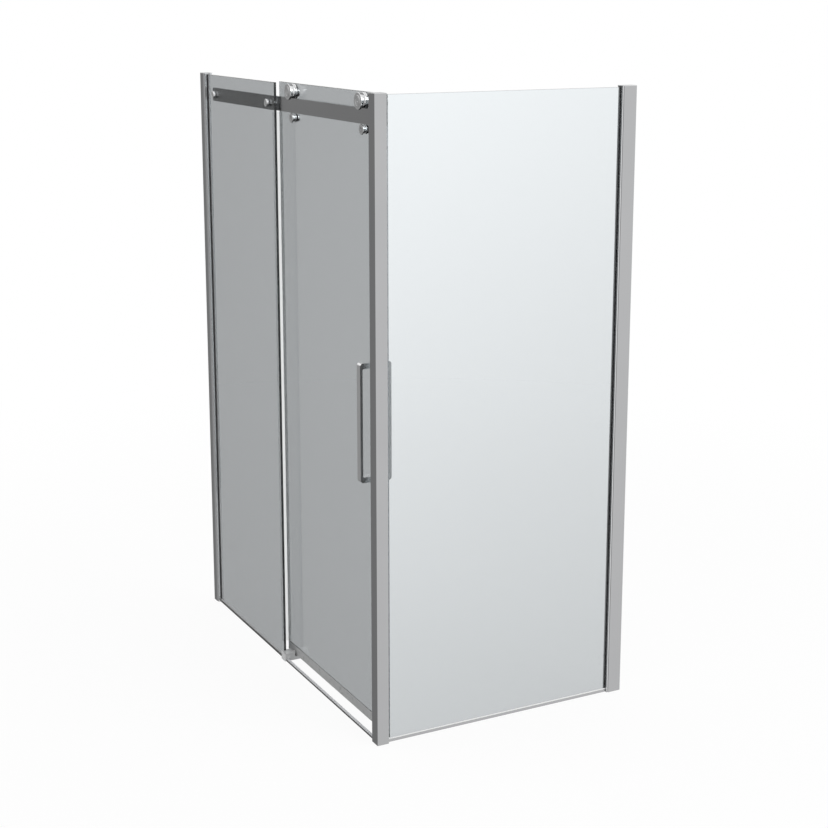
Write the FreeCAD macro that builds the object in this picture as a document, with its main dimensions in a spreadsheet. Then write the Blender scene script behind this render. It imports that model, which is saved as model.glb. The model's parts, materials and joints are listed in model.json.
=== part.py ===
import FreeCAD
import Part
import os
import re
import Sketcher

# Corner shower enclosure: a sliding glass door and a fixed panel in front, a glass side panel
# that returns to the wall, and a square post where the two meet.
#
# Frame: X runs along the front, from the wall (-X) to the corner post (+X). -Y is outside the
# front, +Y is the wall behind. Z is up. The origin is on the floor under the middle of the box.

# Driving dimensions, in millimetres.
SIZES = {
    # overall
    "enclosure_width": 1380,
    "enclosure_depth": 880,
    "enclosure_height": 1950,
    # glass
    "glass_thickness": 8,
    "glass_setback": 11,
    "glass_top_gap": 5,
    "fixed_panel_reach": 638,
    "door_overlap": 43,
    "door_behind_post": 5,
    "door_gap": 28,
    "door_bottom": 20,
    # wall channels and the profiles that adjust inside them
    "front_channel": 30,
    "side_channel": 45,
    "channel_wall": 1.8,
    "adjust_clearance": 0.3,
    "profile_run": 34,
    "profile_wall": 1.6,
    "front_reveal": 10,
    "side_reveal": 4.5,
    "pocket_depth": 12,
    "gasket_thickness": 3,
    "gasket_base": 2,
    "wall_hole": 6,
    "wall_hole_margin": 150,
    "lock_screw_margin": 122,
    "lock_screw_head": 5.2,
    "lock_screw_shank": 2.5,
    "lock_screw_length": 9,
    "screw_clearance": 0.1,
    # caps
    "cap_plate": 1.5,
    "cap_spigot": 10,
    "cap_clearance": 0.3,
    # corner post
    "post_size": 38,
    "post_wall": 2,
    "strip_foot": 1.5,
    "strip_upright": 2,
    "strip_reach": 15,
    "strip_offset": 10,
    # sills and threshold
    "sill_base": 3,
    "sill_height": 9,
    "sill_wall": 1.4,
    "threshold_height": 7,
    "threshold_setback": 8,
    "threshold_foot": 13,
    "threshold_dam": 9,
    "threshold_lip": 2,
    # rail
    "rail_height": 45,
    "rail_thickness": 10,
    "rail_top_drop": 49,
    "rail_end_gap": 73,
    "rail_end_round": 3,
    "rail_standoff": 4.5,
    "rail_socket": 12,
    "rail_socket_clearance": 0.2,
    "rail_screw": 4,
    "rail_screw_head": 8,
    "rail_screw_spacing": 24,
    # knobs that clamp the rail to the fixed glass
    "knob_diameter": 25,
    "knob_length": 8,
    "knob_edge_distance": 51,
    "knob_end_distance": 37,
    "bolt_diameter": 8,
    "bolt_head": 15,
    "spacer_diameter": 20,
    "washer_thickness": 1,
    "glass_hole": 12,
    "thread_gap": 0.05,
    # rollers
    "roller_inset_rear": 128,
    "roller_inset_front": 118,
    "tread_diameter": 36,
    "flange_diameter": 50,
    "front_flange": 2.5,
    "rear_flange": 4.5,
    "groove_play": 0.5,
    "running_gap": 0.3,
    "wheel_cap_diameter": 34,
    "wheel_cap_seat": 1.5,
    "bearing_outside": 24,
    "bearing_bore": 10,
    "bearing_width": 9,
    "race_wall": 2.1,
    "ball_diameter": 4,
    "ball_play": 0.2,
    "balls": 7,
    "axle_head": 14,
    "axle_shoulder": 15,
    "back_plate_diameter": 48,
    "back_plate_gap": 0.8,
    "pad_thickness": 2.5,
    "roller_hole": 20,
    "eccentric_offset": 1.5,
    "cap_nut_diameter": 32,
    "cap_nut_length": 7,
    # spools that stop the door lifting
    "spool_diameter": 31,
    "spool_neck": 22,
    "spool_flange": 28,
    "spool_reach": 16,
    "spool_gap": 2,
    "spool_cap_nut": 24,
    # handle
    "handle_length": 365,
    "handle_bottom": 797,
    "handle_width": 22.5,
    "handle_bar": 8,
    "handle_arm": 17.3,
    "handle_projection": 45.5,
    "handle_inset": 72,
    "handle_round": 10,
    "handle_inner_round": 3,
    "handle_stud_depth": 14,
    # door seals
    "seal_wall": 1.2,
    "seal_leg": 12,
    "seal_base": 3,
    "seal_fin": 3,
    "bottom_seal_leg": 24,
    "overlap_fin": 18,
    "overlap_seal_lift": 12,
    "overlap_seal_drop": 6,
    "closing_gap": 0.4,
    # bottom guide
    "guide_width": 34,
    "guide_grip": 7,
    "guide_front": 8,
    "guide_block_height": 28,
    "guide_base_height": 12,
    "guide_block_gap": 7,
    "guide_upstand": 8,
    "guide_upstand_height": 34,
    "guide_upstand_gap": 3,
    "guide_corner": 4,
    "guide_slot_clearance": 0.2,
    "guide_pad_diameter": 15,
    "guide_pad_play": 0.5,
    "guide_screw": 5,
    "edge_break": 0.8,
}

# Places worked out from the driving dimensions, in the part's own frame.
PLACES = {
    "left_x": "-enclosure_width / 2",
    "right_x": "enclosure_width / 2",
    "front_y": "-enclosure_depth / 2",
    "back_y": "enclosure_depth / 2",
    "channel_width": "2 * glass_setback + glass_thickness",
    "profile_width": "channel_width - 2 * (channel_wall + adjust_clearance)",
    "pocket_width": "glass_thickness + 2 * gasket_thickness",
    "profile_nose": "(profile_width - pocket_width) / 2",
    "profile_top": "enclosure_height - cap_plate",
    "glass_top": "enclosure_height - glass_top_gap",
    "front_nose_x": "left_x + front_channel + front_reveal",
    "side_nose_y": "back_y - side_channel - side_reveal",
    "glass_y": "front_y + glass_setback",
    "glass_back_y": "glass_y + glass_thickness",
    "rail_y": "glass_back_y + rail_standoff",
    "rail_back_y": "rail_y + rail_thickness",
    "door_y": "glass_back_y + door_gap",
    "door_back_y": "door_y + glass_thickness",
    "rail_top": "enclosure_height - rail_top_drop",
    "rail_bottom": "rail_top - rail_height",
    "rail_middle": "rail_top - rail_height / 2",
    "rail_left_x": "left_x + rail_end_gap",
    "fixed_edge_x": "left_x + fixed_panel_reach",
    "post_x": "right_x - post_size",
    "post_back_y": "front_y + post_size",
    "side_glass_x": "right_x - glass_setback - glass_thickness",
    "door_rear_x": "fixed_edge_x - door_overlap",
    "door_lead_x": "post_x + door_behind_post",
    "door_width": "door_lead_x - door_rear_x",
    "door_height": "glass_top - door_bottom",
    "knob_edge_x": "fixed_edge_x - knob_edge_distance",
    "knob_wall_x": "rail_left_x + knob_end_distance",
    "wheel_rear_x": "door_rear_x + roller_inset_rear",
    "wheel_front_x": "door_lead_x - roller_inset_front",
    "wheel_z": "rail_top + running_gap + tread_diameter / 2",
    "wheel_length": "front_flange + rail_thickness + 2 * groove_play + rear_flange",
    "groove_back": "rail_thickness + groove_play",
    "bearing_front": "(rail_thickness - bearing_width) / 2",
    "bearing_back": "bearing_front + bearing_width",
    "bearing_pitch": "(bearing_outside + bearing_bore) / 4",
    "back_plate_front": "groove_back + rear_flange + back_plate_gap",
    "door_from_rail": "door_y - rail_y",
    "spool_z": "rail_bottom - spool_gap - spool_diameter / 2",
    "handle_x": "door_lead_x - handle_inset - handle_width",
    "handle_low_z": "handle_bottom + handle_arm / 2",
    "handle_high_z": "handle_bottom + handle_length - handle_arm / 2",
    "guide_left_x": "fixed_edge_x - guide_grip",
    "guide_right_x": "guide_left_x + guide_width",
    "guide_door": "glass_thickness + door_gap",
    "wall_hole_spacing": "(enclosure_height - 2 * wall_hole_margin) / 3",
    "guide_pad_z": "guide_base_height + guide_slot_clearance + guide_pad_diameter / 2",
    "threshold_y": "front_y + threshold_setback",
}

DOC = FreeCAD.newDocument("ShowerEnclosure")
NODES = []
TURN_TO_X = FreeCAD.Rotation(FreeCAD.Vector(0, 0, 1), -90)
TURN_ABOUT = FreeCAD.Rotation(FreeCAD.Vector(0, 0, 1), 180)
POINT_ALONG_X = FreeCAD.Rotation(FreeCAD.Vector(0, 1, 0), 90)
POINT_ALONG_Y = FreeCAD.Rotation(FreeCAD.Vector(1, 0, 0), -90)


# ---- sheets, values and expressions ---------------------------------------------------------

def in_full(text, sheets):
    """Write each named size with the sheet that holds it, as an expression needs."""
    def name_in_full(match):
        word = match.group(0)
        for sheet, names in sheets:
            if word in names:
                return sheet + "." + word
        return word
    return re.sub(r"[A-Za-z_]\w*", name_in_full, text)


def write_sheet(name, cells):
    sheet = DOC.addObject("Spreadsheet::Sheet", name)
    for row, (alias, content) in enumerate(cells.items(), start=1):
        sheet.set("A%d" % row, alias)
        sheet.set("B%d" % row, content)
        sheet.setAlias("B%d" % row, alias)
    return sheet


SIZE_SHEET = write_sheet("Sizes", {name: str(size) for name, size in SIZES.items()})
PLACE_SHEET = write_sheet(
    "Places", {name: "=" + in_full(text, [("Sizes", SIZES)]) for name, text in PLACES.items()})
DOC.recompute()


def expression(text):
    return in_full(text, [("Sizes", SIZES), ("Places", PLACES)])


def value(text):
    return float(SIZE_SHEET.evalExpression(expression(text)))


def bind(item, **properties):
    """Tie properties of an object to the sheets."""
    for name, text in properties.items():
        item.setExpression(name, expression(text))
    return item


def place(item, x="0", y="0", z="0", rotation=None):
    if rotation is not None:
        item.Placement = FreeCAD.Placement(FreeCAD.Vector(), rotation)
    for axis, text in zip("xyz", (x, y, z)):
        item.setExpression("Placement.Base." + axis, expression(text))
    return item


def node(item, label):
    """Name a finished sub-part and list it for export."""
    item.Label = label
    NODES.append(item)
    return item


# ---- sketches and features ------------------------------------------------------------------

def new_body(name):
    return DOC.addObject("PartDesign::Body", name)


def add_sketch(body, plane, outlines=(), circles=()):
    """Draw closed outlines of straight lines, and circles, each point held to the sheets."""
    sketch = body.newObject("Sketcher::SketchObject", body.Name + "_sketch")
    origin_plane = next(item for item in body.Origin.OriginFeatures if item.Role == plane)
    sketch.AttachmentSupport = [(origin_plane, "")]
    sketch.MapMode = "FlatFace"

    def hold(kind, geometry, point, text):
        number = sketch.addConstraint(
            Sketcher.Constraint(kind, -1, 1, geometry, point, value(text)))
        sketch.setExpression("Constraints[%d]" % number, expression(text))

    for outline in outlines:
        corners = [FreeCAD.Vector(value(x), value(y), 0) for x, y in outline]
        first = sketch.GeometryCount
        count = len(corners)
        for index, corner in enumerate(corners):
            sketch.addGeometry(Part.LineSegment(corner, corners[(index + 1) % count]))
        for index, (x, y) in enumerate(outline):
            following = first + (index + 1) % count
            sketch.addConstraint(
                Sketcher.Constraint("Coincident", first + index, 2, following, 1))
            hold("DistanceX", first + index, 1, x)
            hold("DistanceY", first + index, 1, y)
    for x, y, radius in circles:
        centre = FreeCAD.Vector(value(x), value(y), 0)
        circle = sketch.addGeometry(
            Part.Circle(centre, FreeCAD.Vector(0, 0, 1), value(radius)))
        hold("DistanceX", circle, 3, x)
        hold("DistanceY", circle, 3, y)
        number = sketch.addConstraint(Sketcher.Constraint("Radius", circle, value(radius)))
        sketch.setExpression("Constraints[%d]" % number, expression(radius))
    return sketch


def rectangle(x_low, y_low, x_high, y_high):
    return [(x_low, y_low), (x_high, y_low), (x_high, y_high), (x_low, y_high)]


def add_pad(body, sketch, length, backwards=False):
    pad = body.newObject("PartDesign::Pad", body.Name + "_pad")
    pad.Profile = sketch
    pad.Reversed = backwards
    return bind(pad, Length=length)


def extruded(name, plane, length, outlines, circles=(), backwards=False):
    """A straight piece: one section, pushed out along the normal of its plane."""
    body = new_body(name)
    add_pad(body, add_sketch(body, plane, outlines, circles), length, backwards)
    return body


def plate(name, width, height, thickness, circles=()):
    """An upright sheet that faces -Y, with its front at y = 0."""
    outline = rectangle("0", "0", width, height)
    return extruded(name, "XZ_Plane", thickness, [outline], circles, backwards=True)


def turned(name, outline):
    """A round piece whose axis is Y; the outline gives its radius and its place along Y."""
    body = new_body(name)
    sketch = add_sketch(body, "XY_Plane", [outline])
    revolution = body.newObject("PartDesign::Revolution", name + "_revolution")
    revolution.Profile = sketch
    revolution.ReferenceAxis = (sketch, ["V_Axis"])
    revolution.Angle = 360
    return body


def edges_at(body, picks):
    """Names of the edges of a body that a test picks."""
    DOC.recompute()
    edges = body.Shape.Edges
    return ["Edge%d" % (number + 1) for number, edge in enumerate(edges) if picks(edge)]


def dress(body, kind, size_name, size, picks):
    """Round or bevel the picked edges of a body."""
    names = edges_at(body, picks)
    base = body.Tip
    feature = body.newObject("PartDesign::" + kind, body.Name + "_" + kind.lower())
    feature.Base = (base, names)
    bind(feature, **{size_name: size})
    return body


def runs_along(edge, axis):
    """True for a straight edge parallel to an axis, 0, 1 or 2."""
    start, end = edge.Vertexes[0].Point, edge.Vertexes[-1].Point
    span = [abs(end[side] - start[side]) for side in range(3)]
    return span[axis] > 1e-6 and sum(span) - span[axis] < 1e-6


def lies_at(edge, **places):
    """True if every point of the edge has the given coordinates."""
    for axis, wanted in places.items():
        for vertex in edge.Vertexes:
            if abs(getattr(vertex.Point, axis) - wanted) > 1e-4:
                return False
    return True


def rod(name, radius, length, x="0", y="0", z="0", rotation=None):
    cylinder = DOC.addObject("Part::Cylinder", name)
    bind(cylinder, Radius=radius, Height=length)
    return place(cylinder, x, y, z, rotation)


def block(name, length, width, height, x="0", y="0", z="0"):
    box = DOC.addObject("Part::Box", name)
    bind(box, Length=length, Width=width, Height=height)
    return place(box, x, y, z)


def group(name, members):
    compound = DOC.addObject("Part::Compound", name)
    compound.Links = members
    return compound


def cut(name, base, tools):
    result = DOC.addObject("Part::Cut", name)
    result.Base = base
    result.Tool = group(name + "_tools", tools) if len(tools) > 1 else tools[0]
    return result


def wall_hole_heights():
    """Heights of the screws into the wall, evenly spaced."""
    return ["wall_hole_margin + %d * wall_hole_spacing" % step for step in range(4)]


def lock_screw_heights():
    """Heights of the screws that lock the profile: near the foot, half way, near the top."""
    margin = "lock_screw_margin"
    return [margin, "enclosure_height / 2", "enclosure_height - " + margin]


# ---- wall side: channel, adjusting profile, gasket, screws, cap ------------------------------

def wall_channel(name, depth):
    """Channel that is screwed to the wall; local X points away from the wall."""
    outline = [
        ("0", "0"),
        (depth, "0"),
        (depth, "channel_wall"),
        ("channel_wall", "channel_wall"),
        ("channel_wall", "channel_width - channel_wall"),
        (depth, "channel_width - channel_wall"),
        (depth, "channel_width"),
        ("0", "channel_width"),
    ]
    channel = extruded(name + "_extrusion", "XY_Plane", "profile_top", [outline])
    holes = [
        rod("%s_hole_%d" % (name, number), "wall_hole / 2", "3 * channel_wall",
            "-channel_wall", "channel_width / 2", height, POINT_ALONG_X)
        for number, height in enumerate(wall_hole_heights())
    ]
    return cut(name + "_drilled", channel, holes)


def adjusting_profile(name, lock_y):
    """Hollow profile that slides in the channel; its nose holds the glass."""
    back = "profile_run - pocket_depth"
    nose_top = "profile_width - profile_nose"
    outer = [
        ("0", "0"),
        ("profile_run", "0"),
        ("profile_run", "profile_nose"),
        (back, "profile_nose"),
        (back, nose_top),
        ("profile_run", nose_top),
        ("profile_run", "profile_width"),
        ("0", "profile_width"),
    ]
    cavity = rectangle("profile_wall", "profile_wall",
                       back + " - profile_wall", "profile_width - profile_wall")
    near_nose = rectangle(back, "profile_wall",
                          "profile_run - profile_wall", "profile_nose - profile_wall")
    far_nose = rectangle(back, nose_top + " + profile_wall",
                         "profile_run - profile_wall", "profile_width - profile_wall")
    profile = extruded(name + "_extrusion", "XY_Plane", "profile_top",
                       [outer, cavity, near_nose, far_nose])
    holes = [
        rod("%s_hole_%d" % (name, number), "lock_screw_shank / 2 + screw_clearance",
            "2 * profile_wall", "profile_run - 1.5 * profile_wall", lock_y, height,
            POINT_ALONG_X)
        for number, height in enumerate(lock_screw_heights())
    ]
    return cut(name + "_drilled", profile, holes)


def glazing_gasket(name):
    """Rubber channel round the edge of a pane, in a pocket that opens towards local +X."""
    outline = [
        ("0", "0"),
        ("pocket_depth", "0"),
        ("pocket_depth", "gasket_thickness"),
        ("gasket_base", "gasket_thickness"),
        ("gasket_base", "pocket_width - gasket_thickness"),
        ("pocket_depth", "pocket_width - gasket_thickness"),
        ("pocket_depth", "pocket_width"),
        ("0", "pocket_width"),
    ]
    return extruded(name, "XY_Plane", "glass_top", [outline])


def lock_screw(name):
    """Pan-head screw with its head on the nose of the profile, pointing at the wall."""
    outline = [
        ("0", "0 - lock_screw_length"),
        ("lock_screw_shank / 2", "0 - lock_screw_length"),
        ("lock_screw_shank / 2", "0"),
        ("lock_screw_head / 2", "0"),
        ("lock_screw_head / 2", "lock_screw_shank * 0.4"),
        ("lock_screw_head / 4", "lock_screw_shank * 0.7"),
        ("0", "lock_screw_shank * 0.7"),
    ]
    return turned(name, outline)


def profile_cap(name, nose):
    """Cover over the top of a channel and its profile, with a plug that holds it."""
    body = extruded(name, "XY_Plane", "cap_plate",
                    [rectangle("0", "0", nose, "channel_width")])
    inset = "(profile_wall + cap_clearance)"
    start = "%s - profile_run + %s" % (nose, inset)
    end = "%s - pocket_depth - %s" % (nose, inset)
    side = "channel_wall + adjust_clearance + " + inset
    plug = add_sketch(body, "XY_Plane", [
        rectangle(start, side, end, "channel_width - (%s)" % side)])
    add_pad(body, plug, "cap_spigot", backwards=True)
    return body


def build_wall_side(prefix, x, y, rotation, lock_y):
    """One wall fitting: the front one stands along X, the side one is turned to run along -Y."""
    turned_to_side = rotation is not None

    def seat(item, along, across, z="0", extra=None):
        if turned_to_side:
            spot = (x + " + " + across, y + " - (" + along + ")")
            face = rotation
        else:
            spot = (x + " + " + along, y + " + " + across)
            face = FreeCAD.Rotation()
        if extra is not None:
            face = face.multiply(extra)
        return place(item, spot[0], spot[1], z, face)

    depth = prefix + "_channel"
    nose = "%s + %s_reveal" % (depth, prefix)
    side_gap = "channel_wall + adjust_clearance"
    channel = wall_channel(prefix + "_wall_channel", depth)
    node(seat(channel, "0", "0"), prefix + "_wall_channel")
    profile = adjusting_profile(prefix + "_adjusting_profile", lock_y)
    node(seat(profile, nose + " - profile_run", side_gap), prefix + "_adjusting_profile")
    gasket = glazing_gasket(prefix + "_glazing_gasket")
    node(seat(gasket, nose + " - pocket_depth", side_gap + " + profile_nose"),
         prefix + "_glazing_gasket")
    screws = [
        seat(lock_screw("%s_lock_screw_%d" % (prefix, number)),
             nose, side_gap + " + " + lock_y, height, TURN_TO_X)
        for number, height in enumerate(lock_screw_heights())
    ]
    node(group(prefix + "_screws", screws), prefix + "_lock_screws")
    cap = profile_cap(prefix + "_cap", nose)
    node(seat(cap, "0", "0", "profile_top"), prefix + "_profile_cap")


# ---- panes and sills ------------------------------------------------------------------------

def bevel_outline(body, width, height, thickness):
    """Polish a small bevel all round both faces of a pane."""
    def on_rim(edge):
        on_face = lies_at(edge, y=0) or lies_at(edge, y=value(thickness))
        straight = runs_along(edge, 0) or runs_along(edge, 2)
        return on_face and straight
    return dress(body, "Chamfer", "Size", "edge_break", on_rim)


def pane(name, width, height, circles=()):
    body = plate(name, width, height, "glass_thickness", circles)
    return bevel_outline(body, width, height, "glass_thickness")


def build_fixed_glass():
    start = "front_nose_x - pocket_depth + gasket_base"
    width = "fixed_edge_x - (%s)" % start
    holes = [
        ("%s - (%s)" % (spot, start), "rail_middle - sill_base", "glass_hole / 2")
        for spot in ("knob_edge_x", "knob_wall_x")
    ]
    glass = pane("fixed_glass", width, "glass_top - sill_base", holes)
    node(place(glass, start, "glass_y", "sill_base"), "fixed_glass")


def build_side_glass():
    start = "post_back_y - pocket_depth + gasket_base"
    width = "side_nose_y + pocket_depth - gasket_base - (%s)" % start
    glass = pane("side_glass", width, "glass_top - sill_base")
    quarter = FreeCAD.Rotation(FreeCAD.Vector(0, 0, 1), 90)
    node(place(glass, "side_glass_x + glass_thickness", start, "sill_base", quarter),
         "side_glass")


def sill_section():
    """Channel under the edge of a pane, open upwards; local x is across the pane."""
    outside = "glass_thickness + sill_wall"
    return [
        ("-sill_wall", "0"),
        (outside, "0"),
        (outside, "sill_height"),
        ("glass_thickness", "sill_height"),
        ("glass_thickness", "sill_base"),
        ("0", "sill_base"),
        ("0", "sill_height"),
        ("-sill_wall", "sill_height"),
    ]


def build_sills():
    front = extruded("fixed_glass_sill", "YZ_Plane", "guide_left_x - front_nose_x",
                     [sill_section()])
    node(place(front, "front_nose_x", "glass_y"), "fixed_glass_sill")
    side = extruded("side_glass_sill", "XZ_Plane", "side_nose_y - post_back_y",
                    [sill_section()], backwards=True)
    node(place(side, "side_glass_x", "post_back_y"), "side_glass_sill")


def build_threshold():
    """Low dam on the floor across the doorway, with a thin foot on the inside."""
    half_lip = "threshold_lip / 2"
    outline = [
        ("0", "0"),
        ("threshold_foot", "0"),
        ("threshold_foot", half_lip),
        ("threshold_dam + threshold_lip", "threshold_lip"),
        ("threshold_dam", "threshold_height"),
        (half_lip, "threshold_height"),
        ("0", "threshold_height - " + half_lip),
    ]
    dam = extruded("door_threshold", "YZ_Plane", "post_x - guide_right_x", [outline])
    node(place(dam, "guide_right_x", "threshold_y"), "door_threshold")


# ---- corner post ----------------------------------------------------------------------------

def build_post():
    pocket_low = "post_size - glass_setback - glass_thickness - gasket_thickness"
    pocket_high = "post_size - glass_setback + gasket_thickness"
    pocket_floor = "post_size - pocket_depth"
    outer = [
        ("0", "0"),
        ("post_size", "0"),
        ("post_size", "post_size"),
        (pocket_high, "post_size"),
        (pocket_high, pocket_floor),
        (pocket_low, pocket_floor),
        (pocket_low, "post_size"),
        ("0", "post_size"),
    ]
    inner_edge = "post_size - post_wall"
    cavity = rectangle("post_wall", "post_wall", inner_edge, pocket_floor + " - post_wall")
    rail_cavity = rectangle("post_wall", pocket_floor, pocket_low + " - post_wall", inner_edge)
    nose_cavity = rectangle(pocket_high + " + post_wall", pocket_floor, inner_edge, inner_edge)
    tube = extruded("post_tube", "XY_Plane", "profile_top",
                    [outer, cavity, rail_cavity, nose_cavity])
    slack = "rail_socket_clearance"
    socket = block("rail_socket", "rail_socket + post_wall + " + slack,
                   "rail_thickness + 2 * " + slack, "rail_height + 2 * " + slack,
                   "0 - post_wall", "rail_y - front_y - " + slack, "rail_bottom - " + slack)
    holes = [
        rod("post_screw_hole_%d" % number, "rail_screw / 2 + screw_clearance",
            "2 * post_wall", "rail_socket / 2 + post_wall / 2",
            "post_size - 1.5 * post_wall", height, POINT_ALONG_Y)
        for number, height in enumerate(post_screw_heights())
    ]
    post = cut("post_machined", tube, [socket] + holes)
    node(place(post, "post_x", "front_y"), "corner_post")

    cap = extruded("post_cap", "XY_Plane", "cap_plate",
                   [rectangle("0", "0", "post_size", "post_size")])
    dress(cap, "Chamfer", "Size", "edge_break",
          lambda edge: lies_at(edge, z=value("cap_plate")))
    inset = "(post_wall + cap_clearance)"
    plug = add_sketch(cap, "XY_Plane", [
        rectangle(inset, inset, "post_size - " + inset, pocket_floor + " - " + inset)])
    add_pad(cap, plug, "cap_spigot", backwards=True)
    node(place(cap, "post_x", "front_y", "profile_top"), "corner_post_cap")

    quarter = FreeCAD.Rotation(FreeCAD.Vector(0, 0, 1), 90)
    gasket = glazing_gasket("side_post_gasket")
    node(place(gasket, "post_x + " + pocket_high, "front_y + " + pocket_floor, "0", quarter),
         "side_post_gasket")


def build_closing_strip():
    """Angle on the back of the post that the closed door's edge seal meets."""
    near = "strip_offset"
    far = "strip_offset + strip_upright"
    outline = [
        ("post_wall / 2", "0"),
        (far, "0"),
        (far, "strip_reach"),
        (near, "strip_reach"),
        (near, "strip_foot"),
        ("post_wall / 2", "strip_foot"),
    ]
    strip = extruded("post_closing_strip", "XY_Plane", "rail_bottom - sill_height", [outline])
    node(place(strip, "post_x", "post_back_y", "sill_height"), "post_closing_strip")


def post_screw_heights():
    return ["rail_middle - rail_screw_spacing / 2", "rail_middle + rail_screw_spacing / 2"]


# ---- rail and the knobs that hold it --------------------------------------------------------

def build_rail():
    length = "post_x + rail_socket - rail_left_x"
    bolt_holes = [
        (spot + " - rail_left_x", "rail_height / 2", "bolt_diameter / 2 + screw_clearance")
        for spot in ("knob_edge_x", "knob_wall_x")
    ]
    screw_x = "post_x + rail_socket / 2 + post_wall / 2 - rail_left_x"
    screw_holes = [
        (screw_x, height + " - rail_bottom", "rail_screw / 2 + screw_clearance")
        for height in post_screw_heights()
    ]
    bar = plate("rail_bar", length, "rail_height", "rail_thickness",
                bolt_holes + screw_holes)
    dress(bar, "Fillet", "Radius", "rail_end_round",
          lambda edge: runs_along(edge, 1) and lies_at(edge, x=0))
    sinks = []
    for number, spot in enumerate(("knob_edge_x", "knob_wall_x")):
        sink = DOC.addObject("Part::Cone", "rail_sink_%d" % number)
        bind(sink, Radius1="bolt_diameter / 2 + screw_clearance",
             Radius2="bolt_head / 2 + screw_clearance",
             Height="(bolt_head - bolt_diameter) / 2")
        place(sink, spot + " - rail_left_x",
              "rail_thickness - (bolt_head - bolt_diameter) / 2", "rail_height / 2",
              POINT_ALONG_Y)
        sinks.append(sink)
    rail = cut("rail_machined", bar, sinks)
    node(place(rail, "rail_left_x", "rail_y", "rail_bottom"), "top_rail")

    screws = []
    for number, height in enumerate(post_screw_heights()):
        shank = "rail_back_y - post_back_y - rail_thickness / 2"
        outline = [
            ("0", shank),
            ("rail_screw / 2", shank),
            ("rail_screw / 2", "0"),
            ("rail_screw_head / 2", "0"),
            ("rail_screw_head / 2", "rail_screw / 4"),
            ("rail_screw_head / 4", "rail_screw / 2"),
            ("0", "rail_screw / 2"),
        ]
        screw = turned("rail_post_screw_%d" % number, outline)
        screws.append(place(screw, "post_x + rail_socket / 2 + post_wall / 2",
                            "post_back_y", height))
    node(group("rail_post_screw_pair", screws), "rail_post_screws")


def washer(name, outer_diameter, bore_diameter, thickness):
    """A flat ring with its back at y = 0, standing out towards -Y."""
    outline = rectangle(bore_diameter + " / 2", "0 - (%s)" % thickness,
                        outer_diameter + " / 2", "0")
    return turned(name, outline)


def build_knobs():
    spots = ("knob_edge_x", "knob_wall_x")
    bore = "bolt_diameter / 2 + thread_gap"
    knobs, bolts, spacers, gaskets = [], [], [], []
    for number, spot in enumerate(spots):
        knob = turned("knob_%d" % number, [
            ("0", "0 - knob_length"),
            ("knob_diameter * 0.42", "0 - knob_length"),
            ("knob_diameter / 2", "knob_diameter * 0.08 - knob_length"),
            ("knob_diameter / 2", "0 - edge_break"),
            ("knob_diameter / 2 - edge_break", "0"),
            (bore, "0"),
            (bore, "0 - knob_length * 0.7"),
            ("0", "0 - knob_length * 0.7"),
        ])
        knobs.append(place(knob, spot, "glass_y - washer_thickness", "rail_middle"))

        head = "(bolt_head - bolt_diameter) / 2"
        bolt = turned("rail_bolt_%d" % number, [
            ("0", "glass_y - washer_thickness - knob_length / 2 - rail_back_y"),
            ("bolt_diameter / 2", "glass_y - washer_thickness - knob_length / 2 - rail_back_y"),
            ("bolt_diameter / 2", "0 - " + head),
            ("bolt_head / 2", "0"),
            ("0", "0"),
        ])
        bolts.append(place(bolt, spot, "rail_back_y", "rail_middle"))

        spacer = washer("spacer_%d" % number, "spacer_diameter",
                        "(bolt_diameter + 2 * screw_clearance)",
                        "rail_standoff - washer_thickness")
        spacers.append(place(spacer, spot, "rail_y", "rail_middle"))
        for face, back in enumerate(("glass_y", "glass_back_y + washer_thickness")):
            ring = washer("knob_gasket_%d_%d" % (number, face), "spacer_diameter",
                          "(bolt_diameter + 2 * screw_clearance)", "washer_thickness")
            gaskets.append(place(ring, spot, back, "rail_middle"))
    node(group("knob_pair", knobs), "rail_knobs")
    node(group("rail_bolt_pair", bolts), "rail_bolts")
    node(group("spacer_pair", spacers), "rail_spacers")
    node(group("knob_gasket_set", gaskets), "rail_gaskets")


# ---- bottom guide ---------------------------------------------------------------------------

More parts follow.
